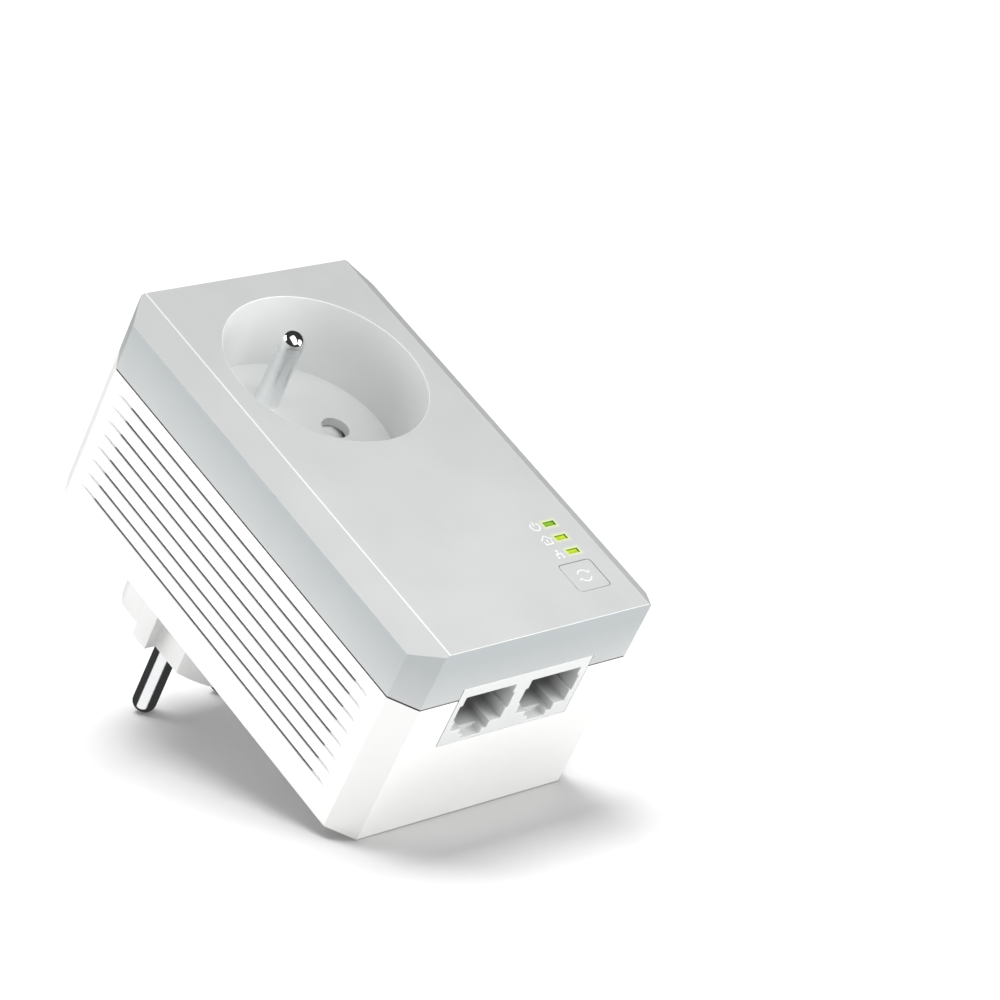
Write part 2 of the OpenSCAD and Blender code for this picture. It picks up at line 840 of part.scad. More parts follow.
module choke_core() {
  color([0.28, 0.5, 0.35]) place() translate(choke_at) difference() {
    cylinder(r = choke_r[0], h = choke_h);
    translate([0, 0, -1]) cylinder(r = choke_r[1], h = choke_h + 2);
  }
}

// Copper turns around the choke's ring
module choke_winding() {
  turns = 8;
  step = 22;
  wire = 0.5;
  gap = 0.05;
  hole = [choke_r[0] - choke_r[1] + 2 * gap, choke_h + 2 * gap];
  color(BRASS) place() translate(choke_at + [0, 0, choke_h / 2])
    for (i = [0:turns - 1]) rotate([0, 0, 180 + (i - (turns - 1) / 2) * step])
      translate([(choke_r[0] + choke_r[1]) / 2, 0, 0]) rotate([90, 0, 0])
        linear_extrude(wire, center = true) difference() {
          square([hole[0] + 0.7, hole[1] + 1.1], center = true);
          square(hole, center = true);
        }
}

module bridge_rectifier() {
  at = [21.6, 38.6];
  size = [6, 6, 2.4];
  color(BLACK) place() slab(at[0], at[1], size[0], size[1], power_y - size[2], power_y);
}

module optocoupler() {
  at = [2, 45];
  size = [4.6, 3.4, 3];
  color(BLACK) place() slab(at[0], at[1], size[0], size[1], power_y - size[2], power_y);
}

// Sheet on the top edges of both boards, slotted for the two strips
module insulating_sheet() {
  thick = 0.4;
  color([0.93, 0.91, 0.84]) place() difference() {
    slab(0, board_top + thick / 2, 48, thick, main_y, power_y + board_t);
    for (x = [-contact_x, contact_x])
      slab(x, board_top, 8.6, 2, strip_y - 0.3, strip_y + strip_t + 0.3);
  }
}

front_cover();
rear_housing();
socket_floor();
socket_earth_pin();
safety_shutter();
shutter_spring();
shutter_frame();
socket_screws();
contact_block();
live_contact();
neutral_contact();
plug_body();
live_plug_pin();
neutral_plug_pin();
plug_earth_sleeve();
earth_busbar();
earth_strip_upper();
earth_strip_lower();
ethernet_jack();
jack_contacts();
pair_button();
switch_plunger();
switch_body();
for (i = [0:2]) light_pipe(i);
for (i = [0:2]) led(i);
main_board();
power_board();
modem_chip();
heat_sink();
memory_chip();
crystal();
ethernet_transformers();
coupling_transformer();
board_header();
power_transformer_core();
power_transformer_winding();
bulk_capacitor();
output_capacitors();
x_capacitor();
y_capacitors();
fuse();
varistor();
choke_core();
choke_winding();
bridge_rectifier();
optocoupler();
insulating_sheet();
main_board_screws();
power_board_screws();
case_screws();
rating_label();
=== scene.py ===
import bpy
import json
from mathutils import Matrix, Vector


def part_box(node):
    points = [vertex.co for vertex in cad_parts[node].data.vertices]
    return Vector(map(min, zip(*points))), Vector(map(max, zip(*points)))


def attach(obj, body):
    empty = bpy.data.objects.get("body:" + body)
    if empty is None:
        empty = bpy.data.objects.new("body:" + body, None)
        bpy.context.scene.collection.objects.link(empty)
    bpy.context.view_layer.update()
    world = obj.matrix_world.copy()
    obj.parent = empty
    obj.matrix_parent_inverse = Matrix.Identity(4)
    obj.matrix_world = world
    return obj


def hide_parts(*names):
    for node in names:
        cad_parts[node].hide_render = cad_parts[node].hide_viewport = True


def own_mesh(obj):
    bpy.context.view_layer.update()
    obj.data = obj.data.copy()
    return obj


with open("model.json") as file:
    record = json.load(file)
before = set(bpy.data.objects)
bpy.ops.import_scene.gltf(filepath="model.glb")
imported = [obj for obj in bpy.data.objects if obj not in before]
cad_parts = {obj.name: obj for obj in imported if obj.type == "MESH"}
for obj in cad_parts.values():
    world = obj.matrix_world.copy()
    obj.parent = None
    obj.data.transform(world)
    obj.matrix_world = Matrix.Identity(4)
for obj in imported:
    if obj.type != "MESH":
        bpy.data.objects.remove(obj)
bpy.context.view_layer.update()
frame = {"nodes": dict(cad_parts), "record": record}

import json
import math

import bpy
from mathutils import Matrix, Vector

MM = 0.001
NODES = frame["nodes"]

# Sizes and places that the looks are built around
HOUSING_LOW, HOUSING_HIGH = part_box("rear_housing")
MIDDLE = (HOUSING_LOW + HOUSING_HIGH) / 2
LABEL_LOW, LABEL_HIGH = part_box("rating_label")
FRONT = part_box("front_cover")[0].y
BUTTON_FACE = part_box("pair_button")[0].y
COVER_BACK = FRONT + 13.2 * MM
WELL_R = 20 * MM
WINDOW = Vector((2.6, 0, 1.1)) * MM
ICON_SHIFT = -3.5 * MM
CORNER_Z = 4.8 * MM

# The vent slots: how far in their walls reach, and how far they stay from the rims and the ends
SLOT_IN = 2.5 * MM
SLOT_SKIN = 0.22 * MM
SLOT_RIM = 1.2 * MM
SLOT_FOOT = 12.6 * MM
SLOT_TOP = 11.7 * MM

# The satin part of the plating, behind the earth pin's polished tip and ahead of the plug pins
SATIN = 0.26
SATIN_START = FRONT + 2.3 * MM
SATIN_FULL = FRONT + 5 * MM
SATIN_END = FRONT + 25 * MM


def centre(node):
    low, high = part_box(node)
    return (low + high) / 2


def calculate(tree, kind, a, b=0.0):
    """A Math node in a material or a geometry group"""
    made = tree.nodes.new("ShaderNodeMath")
    made.operation = kind
    for socket, value in zip(made.inputs, (a, b)):
        if isinstance(value, bpy.types.NodeSocket):
            tree.links.new(value, socket)
        else:
            socket.default_value = value
    return made.outputs[0]


# ---- materials ----

class Paint:
    """One material: a Principled shader and short ways to add the nodes that drive it."""

    def __init__(self, name):
        self.material = bpy.data.materials.new(name)
        self.material.use_nodes = True
        self.tree = self.material.node_tree
        self.shader = self.tree.nodes["Principled BSDF"]
        self.place = self.tree.nodes.new("ShaderNodeTexCoord").outputs["Object"]

    def node(self, kind, **inputs):
        made = self.tree.nodes.new(kind)
        for name, value in inputs.items():
            socket = made.inputs[name.replace("_", " ")]
            if isinstance(value, bpy.types.NodeSocket):
                self.tree.links.new(value, socket)
            else:
                socket.default_value = value
        return made

    def drive(self, name, output):
        self.tree.links.new(output, self.shader.inputs[name])

    def set(self, **inputs):
        for name, value in inputs.items():
            self.shader.inputs[name.replace("_", " ")].default_value = value

    def stretched(self, scale):
        return self.node("ShaderNodeMapping", Vector=self.place, Scale=scale).outputs[0]

    def noise(self, size, detail=3, place=None):
        """Noise whose blotches are about size millimetres across"""
        return self.node("ShaderNodeTexNoise", Vector=place or self.place, Scale=1 / (size * MM),
                         Detail=detail).outputs[0]

    def span(self, value, low, high, start=0.3, end=0.7):
        """Runs from low to high as the value goes from start to end"""
        return self.node("ShaderNodeMapRange", Value=value, From_Min=start, From_Max=end, To_Min=low,
                         To_Max=high).outputs[0]

    def math(self, kind, a, b=0.0):
        return calculate(self.tree, kind, a, b)

    def mix(self, factor, a, b):
        made = self.tree.nodes.new("ShaderNodeMix")
        made.data_type = "RGBA"
        for index, value in ((0, factor), (6, a), (7, b)):
            if isinstance(value, bpy.types.NodeSocket):
                self.tree.links.new(value, made.inputs[index])
            else:
                made.inputs[index].default_value = value
        return made.outputs[2]

    def axes(self):
        return self.node("ShaderNodeSeparateXYZ", Vector=self.place).outputs

    def between(self, value, low, high):
        """1 where the value lies between low and high, else 0"""
        return self.math("MULTIPLY", self.math("GREATER_THAN", value, low),
                         self.math("LESS_THAN", value, high))

    def tint(self, factor, colour):
        """Lays a colour over the base colour, fully where the factor is 1"""
        under = self.shader.inputs["Base Color"].links[0].from_socket
        self.drive("Base Color", self.mix(factor, under, colour))

    def relief(self, height, depth):
        """Bump that is depth millimetres deep"""
        self.drive("Normal", self.node("ShaderNodeBump", Height=height, Distance=depth * MM,
                                       Strength=1.0).outputs[0])


def rgb(r, g, b):
    return (r, g, b, 1.0)


def shade(colour, factor):
    return tuple(min(1.0, c * factor) for c in colour[:3]) + (1.0,)


def moulded(name, colour, rough=0.42, grain=0.16, depth=0.0012, vary=0.03, specular=0.4):
    """Moulded plastic: faint flow clouds, a fine spark-eroded grain and slightly uneven gloss"""
    paint = Paint(name)
    clouds = paint.noise(14)
    paint.drive("Base Color", paint.mix(paint.span(clouds, 0, 1), shade(colour, 1 - vary),
                                        shade(colour, 1 + vary)))
    paint.drive("Roughness", paint.span(paint.noise(2.5), rough - 0.05, rough + 0.05))
    paint.relief(paint.noise(grain, 2), depth)
    paint.set(Specular_IOR_Level=specular)
    return paint


def plated(name, colour, rough=0.07, streak=0.012):
    """Polished plating with faint turning marks, satin down the shaft of the socket's earth pin"""
    paint = Paint(name)
    rings = paint.noise(0.35, 2, paint.stretched((0.05, 1, 0.05)))
    paint.drive("Base Color", paint.mix(rings, shade(colour, 0.96), shade(colour, 1.03)))
    depth = paint.axes()[1]
    satin = paint.span(depth, 0.0, SATIN, start=SATIN_START, end=SATIN_FULL)
    in_socket = paint.math("LESS_THAN", depth, SATIN_END)
    uneven = paint.span(rings, rough, rough + streak)
    paint.drive("Roughness", paint.math("ADD", uneven, paint.math("MULTIPLY", satin, in_socket)))
    paint.set(Metallic=1.0)
    return paint


def brushed(name, colour, rough=0.3, along=(1, 1, 0.04)):
    """Rolled or brushed metal with long fine scratches"""
    paint = Paint(name)
    scratches = paint.noise(0.12, 4, paint.stretched(along))
    stains = paint.noise(5)
    paint.drive("Base Color", paint.mix(paint.span(stains, 0, 1), shade(colour, 0.9), shade(colour, 1.05)))
    paint.drive("Roughness", paint.span(scratches, rough - 0.08, rough + 0.12))
    paint.relief(scratches, 0.002)
    paint.set(Metallic=1.0)
    return paint


def banded(name, colour, dark, pitch, metal=0.0, rough=0.3):
    """Wire or tape wound in turns: bands with a rounded section"""
    paint = Paint(name)
    wave = paint.node("ShaderNodeTexWave", Vector=paint.place, Scale=1 / (20 * pitch * MM), Distortion=0.4,
                      Detail=1.0).outputs[1]
    paint.drive("Base Color", paint.mix(wave, dark, colour))
    paint.drive("Roughness", paint.span(paint.noise(1.2), rough - 0.06, rough + 0.08))
    paint.relief(wave, 0.05)
    paint.set(Metallic=metal)
    return paint


def circuit_board(name, colour):
    """Green lacquer over copper tracks"""
    paint = Paint(name)
    tracks = paint.node("ShaderNodeTexBrick", Vector=paint.node(
        "ShaderNodeMapping", Vector=paint.place, Rotation=(math.radians(90), 0, 0)).outputs[0],
        Scale=1 / (6 * MM), Mortar_Size=0.03, Color1=shade(colour, 1.0), Color2=shade(colour, 1.25),
        Mortar=shade(colour, 2.4))
    paint.drive("Base Color", tracks.outputs[0])
    paint.drive("Roughness", paint.span(paint.noise(1.5), 0.22, 0.34))
    paint.relief(tracks.outputs[1], 0.03)
    paint.set(Coat_Weight=0.5)
    return paint


def near_window(paint, axes, node):
    """Distance outside the edge of one light window, in metres"""
    middle = centre(node)
    gaps = [paint.math("SUBTRACT", paint.math("ABSOLUTE", paint.math("SUBTRACT", axes[i], middle[i])),
                       WINDOW[i] / 2) for i in (0, 2)]
    return paint.math("MAXIMUM", gaps[0], gaps[1])


def shade_seam(paint, axes):
    """Painted shade: darkens the faces that meet inside the seam, where the gap lies in shadow"""
    paint.tint(paint.between(axes[1], COVER_BACK - 0.03 * MM, HOUSING_LOW.y + 0.03 * MM), SEAM_SHADE)


def housing_plastic(name, colour):
    """White housing, with painted shade on the walls of the vent slots and in the seam"""
    paint = moulded(name, colour, rough=0.4, vary=0.012)
    axes = paint.axes()
    across = paint.math("ABSOLUTE", axes[0])
    slot = paint.math("MULTIPLY", paint.between(across, HOUSING_HIGH.x - SLOT_IN, HOUSING_HIGH.x - SLOT_SKIN),
                      paint.between(axes[1], HOUSING_LOW.y + SLOT_RIM, HOUSING_HIGH.y - SLOT_RIM))
    level = paint.between(axes[2], HOUSING_LOW.z + SLOT_FOOT, HOUSING_HIGH.z - SLOT_TOP)
    # Painted shade on the walls of the vent slots
    paint.tint(paint.math("MULTIPLY", slot, level), SLOT_SHADE)
    shade_seam(paint, axes)
    return paint


def jack_plastic(name, colour):
    """Grey of the network jack, with painted shade down inside the ports and on its hidden sides"""
    paint = moulded(name, colour, rough=0.38, vary=0.015)
    axes = paint.axes()
    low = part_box("ethernet_jack")[0]
    # Painted shade, darker deeper inside the ports
    depth = paint.span(axes[2], 0.0, 0.82, start=low.z + 0.15 * MM, end=low.z + 5 * MM)
    paint.tint(depth, shade(colour, 0.16))
    # Painted shade on the hidden left and top sides, in the gap round the jack
    sides = paint.math("MAXIMUM", paint.math("LESS_THAN", axes[0], low.x + 0.06 * MM),
                       paint.math("LESS_THAN", axes[1], low.y + 0.06 * MM))
    paint.tint(sides, shade(colour, 0.2))
    return paint


def shade_sides(paint, axes):
    """Painted shade: darkens the faces that look sideways, less towards the seam"""
    facing = paint.node("ShaderNodeTexCoord").outputs["Normal"]
    forwards = paint.math("ABSOLUTE", paint.node("ShaderNodeSeparateXYZ", Vector=facing).outputs[1])
    side = paint.span(forwards, 1.0, 0.0, start=0.3, end=0.95)
    ahead = paint.span(axes[1], 1.0, 0.3, start=FRONT + 4 * MM, end=COVER_BACK)
    paint.tint(paint.math("MULTIPLY", side, ahead), COVER_SIDE_SHADE)


def well_painted_light(paint, axes, colour):
    """Painted light: lightens the wall of the socket well"""
    out = paint.node("ShaderNodeVectorMath", Vector=paint.stretched((1, 0, 1)))
    out.operation = "LENGTH"
    within = paint.math("LESS_THAN", out.outputs["Value"], WELL_R + 0.05 * MM)
    behind = paint.math("GREATER_THAN", axes[1], FRONT + 0.12 * MM)
    paint.tint(paint.math("MULTIPLY", within, behind), shade(colour, 1.27))


def light_windows_glow(paint, axes):
    """Painted glow: a green halo of the lights' light round each light window, and green-lit walls inside it
    """
    gap = None
    for status in LIT:
        one = near_window(paint, axes, f"light_pipe_{status}")
        gap = one if gap is None else paint.math("MINIMUM", gap, one)
    paint.tint(paint.span(gap, 0.85, 0.0, start=0.0, end=0.75 * MM), PAINTED_GLOW_HALO)
    inside = paint.math("MULTIPLY", paint.math("GREATER_THAN", axes[1], FRONT + 0.06 * MM),
                        paint.math("LESS_THAN", gap, 0.2 * MM))
    paint.tint(inside, WINDOW_WALL_GLOW)


def cover_plastic(name, colour):
    # Grey cover, with painted shade on its sides and in the seam, painted light on the well wall and a
    # painted glow round the light windows
    paint = moulded(name, colour, rough=0.36)
    axes = paint.axes()
    shade_sides(paint, axes)
    shade_seam(paint, axes)
    well_painted_light(paint, axes, colour)
    light_windows_glow(paint, axes)
    return paint


def light_window(name, colour, edge):
    """Clear tinted plastic that glows from its middle"""
    paint = Paint(name)
    patches = paint.noise(1.2)
    paint.drive("Base Color", paint.mix(paint.span(patches, 0, 1), edge, colour))
    paint.drive("Roughness", paint.span(paint.noise(0.6), 0.18, 0.3))
    paint.set(Emission_Color=colour, Emission_Strength=0.12)
    return paint


def wrinkled_film(name, colour, rough=0.3):
    """Thin film or sleeve: soft wrinkles"""
    paint = Paint(name)
    folds = paint.noise(3.0, 2)
    paint.drive("Base Color", paint.mix(paint.span(folds, 0, 1), shade(colour, 0.88), shade(colour, 1.1)))
    paint.drive("Roughness", paint.span(paint.noise(1.0), rough - 0.08, rough + 0.08))
    paint.relief(folds, 0.08)
    return paint


def sintered(name, colour):
    """Ferrite: dark, dull and pitted"""
    paint = Paint(name)
    cells = paint.node("ShaderNodeTexVoronoi", Vector=paint.place, Scale=1 / (0.35 * MM))
    paint.drive("Base Color", paint.mix(cells.outputs[0], shade(colour, 0.8), shade(colour, 1.3)))
    paint.drive("Roughness", paint.span(paint.noise(1.0), 0.55, 0.75))
    paint.relief(cells.outputs[0], 0.03)
    return paint


def clear_tube(name, colour):
    """Thin glass with faint smears"""
    paint = Paint(name)
    smears = paint.noise(1.5)
    paint.drive("Base Color", paint.mix(paint.span(smears, 0, 1), shade(colour, 0.94), colour))
    paint.drive("Roughness", paint.span(smears, 0.03, 0.1))
    paint.set(Transmission_Weight=0.9)
    return paint


def printed(name, colour):
    """Ink or film laid on plastic"""
    paint = Paint(name)
    paint.drive("Base Color", paint.mix(paint.span(paint.noise(0.4), 0, 1), shade(colour, 0.95), colour))
    paint.drive("Roughness", paint.span(paint.noise(0.8), 0.4, 0.55))
    paint.relief(paint.noise(0.1, 2), 0.001)
    return paint


COVER = rgb(0.602, 0.613, 0.607)
# Painted shade on the cover's sides, in the seam and on the vent slot walls, and a painted glow of the lights
# round and inside the light windows
COVER_SIDE_SHADE = rgb(0.445, 0.472, 0.480)
SEAM_SHADE = rgb(0.13, 0.13, 0.135)
SLOT_SHADE = rgb(0.30, 0.30, 0.305)
PAINTED_GLOW_HALO = rgb(0.80, 0.90, 0.42)
WINDOW_WALL_GLOW = rgb(0.13, 0.30, 0.03)
WHITE = rgb(0.90, 0.90, 0.89)
JACK = rgb(0.74, 0.75, 0.75)
PLATING = rgb(0.86, 0.87, 0.88)
# Each light's colour, and the darker colour towards its edge
LIT = {"power": (rgb(0.30, 0.52, 0.05), rgb(0.16, 0.36, 0.03)),
       "home": (rgb(0.58, 0.72, 0.05), rgb(0.36, 0.52, 0.03)),
       "network": (rgb(0.58, 0.72, 0.05), rgb(0.36, 0.52, 0.03))}
PAINTS = {
    "cover_grey": cover_plastic("cover_grey", COVER),
    "housing_white": housing_plastic("housing_white", WHITE),
    "jack_grey": jack_plastic("jack_grey", JACK),
    "plated_pin": plated("plated_pin", PLATING),
    "contact_brass": brushed("contact_brass", rgb(0.72, 0.52, 0.22), 0.22),
    "steel": brushed("steel", rgb(0.60, 0.61, 0.63), 0.3, (1, 0.05, 1)),
    "led_resin": light_window("led_resin", rgb(0.9, 0.88, 0.6), rgb(0.8, 0.78, 0.5)),
    "board_green": circuit_board("board_green", rgb(0.02, 0.14, 0.06)),
    "black_plastic": moulded("black_plastic", rgb(0.03, 0.03, 0.032), rough=0.5, grain=0.3, depth=0.004),
    "heat_sink_metal": brushed("heat_sink_metal", rgb(0.72, 0.73, 0.75), 0.35, (1, 0.06, 1)),
    "ferrite": sintered("ferrite", rgb(0.05, 0.05, 0.055)),
    "winding_tape": banded("winding_tape", rgb(0.80, 0.62, 0.15), rgb(0.62, 0.46, 0.1), 2.0),
    "copper": banded("copper", rgb(0.80, 0.36, 0.16), rgb(0.45, 0.18, 0.08), 0.5, 1.0, 0.25),
    "capacitor_sleeve": wrinkled_film("capacitor_sleeve", rgb(0.04, 0.07, 0.16)),
    "capacitor_box": moulded("capacitor_box", rgb(0.72, 0.5, 0.05), rough=0.35),
    "fuse_glass": clear_tube("fuse_glass", rgb(0.9, 0.93, 0.92)),
    "sheet_insulation": wrinkled_film("sheet_insulation", rgb(0.78, 0.74, 0.6), 0.45),
    "label_paper": printed("label_paper", rgb(0.72, 0.73, 0.74)),
}
# Paler plastic on the rounding of the cover's front edges: a painted highlight
COVER_EDGE_HIGHLIGHT = moulded("cover_edge_highlight", rgb(0.88, 0.89, 0.89), rough=0.3)
INK_WHITE = printed("ink_white", rgb(0.95, 0.95, 0.95))
INK_GREY = printed("ink_grey", rgb(0.18, 0.18, 0.19))


def dress(obj, paint):
    obj.data.materials.clear()
    obj.data.materials.append(paint.material)


PLUG_PLATING = plated("plug_plating", PLATING, rough=0.14)
# Nodes that look different from the rest of their material slot: the shutter paler as painted light, the plug
# body darker as painted shade, the plug pins with rougher plating
OWN_PAINT = {
    "safety_shutter": moulded("shutter_painted_light", rgb(0.93, 0.93, 0.93), rough=0.35),
    "plug_body": moulded("plug_painted_shade", rgb(0.80, 0.80, 0.795), rough=0.4),
    "live_plug_pin": PLUG_PLATING,
    "neutral_plug_pin": PLUG_PLATING,
}
for part in frame["record"]["subparts"]:
    status = part["node"].removeprefix("light_pipe_")
    if status in LIT:
        dress(NODES[part["node"]], light_window(f"light_{status}", *LIT[status]))
    elif part["node"] in OWN_PAINT:
        dress(NODES[part["node"]], OWN_PAINT[part["node"]])
    else:
        dress(NODES[part["node"]], PAINTS[part["material_slot"]])


# ---- edges of the CAD parts ----

def node_group(name, build):
    """A geometry group: build gets the tree and the incoming geometry, and returns the outgoing one"""
    group = bpy.data.node_groups.new(name, "GeometryNodeTree")
    for way in ("INPUT", "OUTPUT"):
        group.interface.new_socket("Geometry", in_out=way, socket_type="NodeSocketGeometry")
    first = group.nodes.new("NodeGroupInput").outputs[0]
    group.links.new(build(group, first), group.nodes.new("NodeGroupOutput").inputs[0])
    return group


def weld(group, geometry):
    """Joins the vertices that the import splits, and drops its stored normals"""
    merge = group.nodes.new("GeometryNodeMergeByDistance")
    merge.inputs["Distance"].default_value = 1e-7
    normal = group.nodes.new("GeometryNodeSetMeshNormal")
    normal.mode = "SHARPNESS"
    group.links.new(geometry, merge.inputs[0])
    group.links.new(merge.outputs[0], normal.inputs[0])
    return normal.outputs[0]


def mark_edges(group, geometry, chosen):
    """Gives each sharp edge the bevel weight, from 0 to 1, that chosen works out from its place"""
    axes = group.nodes.new("ShaderNodeSeparateXYZ")
    group.links.new(group.nodes.new("GeometryNodeInputPosition").outputs[0], axes.inputs[0])
    angle = group.nodes.new("GeometryNodeInputMeshEdgeAngle").outputs[0]
    sharp = calculate(group, "GREATER_THAN", angle, math.radians(20))
    store = group.nodes.new("GeometryNodeStoreNamedAttribute")
    store.data_type = "FLOAT"
    store.domain = "EDGE"
    store.inputs["Name"].default_value = "bevel_weight_edge"
    group.links.new(geometry, store.inputs["Geometry"])
    group.links.new(calculate(group, "MULTIPLY", sharp, chosen(group, axes.outputs)), store.inputs["Value"])
    return store.outputs[0]


# The rims' share of the corners' rounding, and the half size of the panel with the windows and button
RIM_WEIGHT = 0.12
PANEL_HALF_X = 5.2 * MM
PANEL_HALF_Z = 17 * MM


def housing_corner(group, axes):
    """Full weight where the housing's sides meet its cut corners, a little on its front and rear rims"""
    reach = (HOUSING_HIGH.z - HOUSING_LOW.z) / 2 - CORNER_Z
    side = calculate(group, "GREATER_THAN", calculate(group, "ABSOLUTE", axes[0]), HOUSING_HIGH.x - 0.05 * MM)
    height = calculate(group, "ABSOLUTE", calculate(group, "SUBTRACT", axes[2], MIDDLE.z))
    off = calculate(group, "ABSOLUTE", calculate(group, "SUBTRACT", height, reach))
    corner = calculate(group, "MULTIPLY", side, calculate(group, "LESS_THAN", off, 0.1 * MM))
    rim = calculate(group, "MAXIMUM", calculate(group, "LESS_THAN", axes[1], HOUSING_LOW.y + 0.01 * MM),
                    calculate(group, "GREATER_THAN", axes[1], HOUSING_HIGH.y - 0.01 * MM))
    return calculate(group, "MAXIMUM", corner, calculate(group, "MULTIPLY", rim, RIM_WEIGHT))


def front_edge(group, axes):
    """Edges of the cover's front face, but not round the windows and the button; their rounding carries the
    painted highlight
    """
    front = calculate(group, "LESS_THAN", axes[1], FRONT + 0.01 * MM)
    panel = centre("pair_button")
    across = calculate(group, "ABSOLUTE", calculate(group, "SUBTRACT", axes[0], panel.x))
    above = calculate(group, "ABSOLUTE", calculate(group, "SUBTRACT", axes[2], panel.z))
    clear = calculate(group, "MAXIMUM", calculate(group, "GREATER_THAN", across, PANEL_HALF_X),
                      calculate(group, "GREATER_THAN", above, PANEL_HALF_Z))
    return calculate(group, "MULTIPLY", front, clear)


def add_group(obj, group):
    obj.modifiers.new(group.name, "NODES").node_group = group


def add_bevel(obj, width, method="ANGLE", segments=3):
    """Rounds edges to that width in millimetres. Only ANGLE is clamped: a clamp shrinks every edge alike"""
    bevel = obj.modifiers.new("round", "BEVEL")
    bevel.limit_method = method
    bevel.angle_limit = math.radians(28)
    bevel.width = width * MM
    bevel.segments = segments
    bevel.miter_outer = "MITER_ARC"
    bevel.use_clamp_overlap = method == "ANGLE"
    return bevel


WELD = node_group("weld", weld)
MARKED = {"rear_housing": node_group("housing_corner", lambda g, geo: mark_edges(g, geo, housing_corner)),
          "front_cover": node_group("front_edge", lambda g, geo: mark_edges(g, geo, front_edge))}
# Widths of the rounding in millimetres: on marked edges, and on all other sharp ones
MARKED_WIDTH = {"rear_housing": 1.3, "front_cover": 0.13}
EDGE_WIDTH = {"front_cover": 0.16, "rear_housing": 0.16, "socket_floor": 0.12, "ethernet_jack": 0.12,
              "plug_body": 0.3, "pair_button": 0.12, "rating_label": 0.05, "shutter_spring": 0}
for name, obj in NODES.items():
    add_group(obj, WELD)
    flat = obj.modifiers.new("flat", "DECIMATE")
    flat.decimate_type = "DISSOLVE"
    flat.angle_limit = math.radians(0.5)
    if name in MARKED:
        add_group(obj, MARKED[name])
        wide = add_bevel(obj, MARKED_WIDTH[name], "WEIGHT", 5)
        if name == "front_cover":
            # The paler material on the front edges' rounding is a painted highlight
            obj.data.materials.append(COVER_EDGE_HIGHLIGHT.material)
            wide.material = 1
    width = EDGE_WIDTH.get(name, 0.08)
    if width:
        add_bevel(obj, width)
    obj.modifiers.new("normals", "WEIGHTED_NORMAL").keep_sharp = False


# ---- return spring ----

def return_spring():
    """The shutter's spring as its own copy of the CAD part's mesh, fixed to the case; the CAD part is hidden
    """
    fixed = NODES["shutter_spring"]
    spring = bpy.data.objects.new("return_spring", fixed.data.copy())
    bpy.context.scene.collection.objects.link(spring)
    spring.matrix_world = fixed.matrix_world
    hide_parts("shutter_spring")
    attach(spring, "case")
    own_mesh(spring)


return_spring()


# ---- printed marks ----

INK_THICK = 0.01 * MM


def ribbon(mesh, points, width, level, thick):
    """A flat stroke of that width along points (across, up), its top thick in front of level"""
    rows = []
    for i, point in enumerate(points):
        before = Vector(points[max(i - 1, 0)])
        after = Vector(points[min(i + 1, len(points) - 1)])
        along = (after - before).normalized()
        side = Vector((-along.y, along.x)) * width / 2
        corners = [Vector(point) + side, Vector(point) - side]
        rows.append([(c.x * MM, y, c.y * MM) for y in (level, level - thick) for c in corners])
    start = len(mesh["points"])
    for row in rows:
        mesh["points"] += row
    count = len(rows)
    for i in range(count - 1):
        a, b = start + 4 * i, start + 4 * (i + 1)
        mesh["faces"] += [(a, b, b + 1, a + 1), (a + 2, a + 3, b + 3, b + 2), (a, a + 2, b + 2, b),
                          (a + 1, b + 1, b + 3, a + 3)]
    a, b = start, start + 4 * (count - 1)
    mesh["faces"] += [(a, a + 1, a + 3, a + 2), (b, b + 2, b + 3, b + 1)]


def arc(radius, start, end, steps=28):
    """Points on a circle, from one angle in degrees to another"""
    angles = [math.radians(start + (end - start) * i / steps) for i in range(steps + 1)]
    return [(radius * math.cos(a), radius * math.sin(a)) for a in angles]


def print_mark(name, strokes, at, level, width, body, paint):
    """Strokes in millimetres about their middle, printed at a place on a face"""
    mesh = {"points": [], "faces": []}
    for stroke in strokes:
        ribbon(mesh, stroke, width, level, INK_THICK)
    data = bpy.data.meshes.new(name)
    data.from_pydata([(x + at.x, y, z + at.z) for x, y, z in mesh["points"]], [], mesh["faces"])
    data.validate()
    obj = bpy.data.objects.new(name, data)
    bpy.context.scene.collection.objects.link(obj)
    dress(obj, paint)
    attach(obj, body)


ICONS = {
    "power": [arc(1.0, 130, 410), [(0, 0.25), (0, 1.25)]],
    "home": [[(-1.25, 0.05), (0, 1.2), (1.25, 0.05)], [(-0.85, -0.25), (-0.85, -1.1)],
             [(-0.72, -0.97), (0.72, -0.97)], [(0.85, -1.1), (0.85, -0.25)], [(0, -0.55), (0, 0.2)]],
    "network": [[(-0.85, -0.95), (-0.35, -0.95)], [(0.35, -0.95), (0.85, -0.95)], [(-0.3, 0.85), (0.3, 0.85)],
                [(-0.6, -0.8), (-0.6, -0.1)], [(0.6, -0.8), (0.6, -0.1)], [(-0.73, 0.03), (0.73, 0.03)],
                [(0, 0.17), (0, 0.7)]],
}
for status, strokes in ICONS.items():
    spot = centre(f"light_pipe_{status}") + Vector((ICON_SHIFT, 0, 0))
    print_mark(f"icon_{status}", strokes, spot, FRONT, 0.26, "case", INK_WHITE)

PAIR_MARK = [arc(1.35, 25, 155), arc(1.35, 205, 335), [(1.75, 0.95), (1.22, 0.42), (0.75, 0.85)],
             [(-1.75, -0.95), (-1.22, -0.42), (-0.75, -0.85)]]
print_mark("button_mark", PAIR_MARK, centre("pair_button"), BUTTON_FACE, 0.28, "button", INK_WHITE)

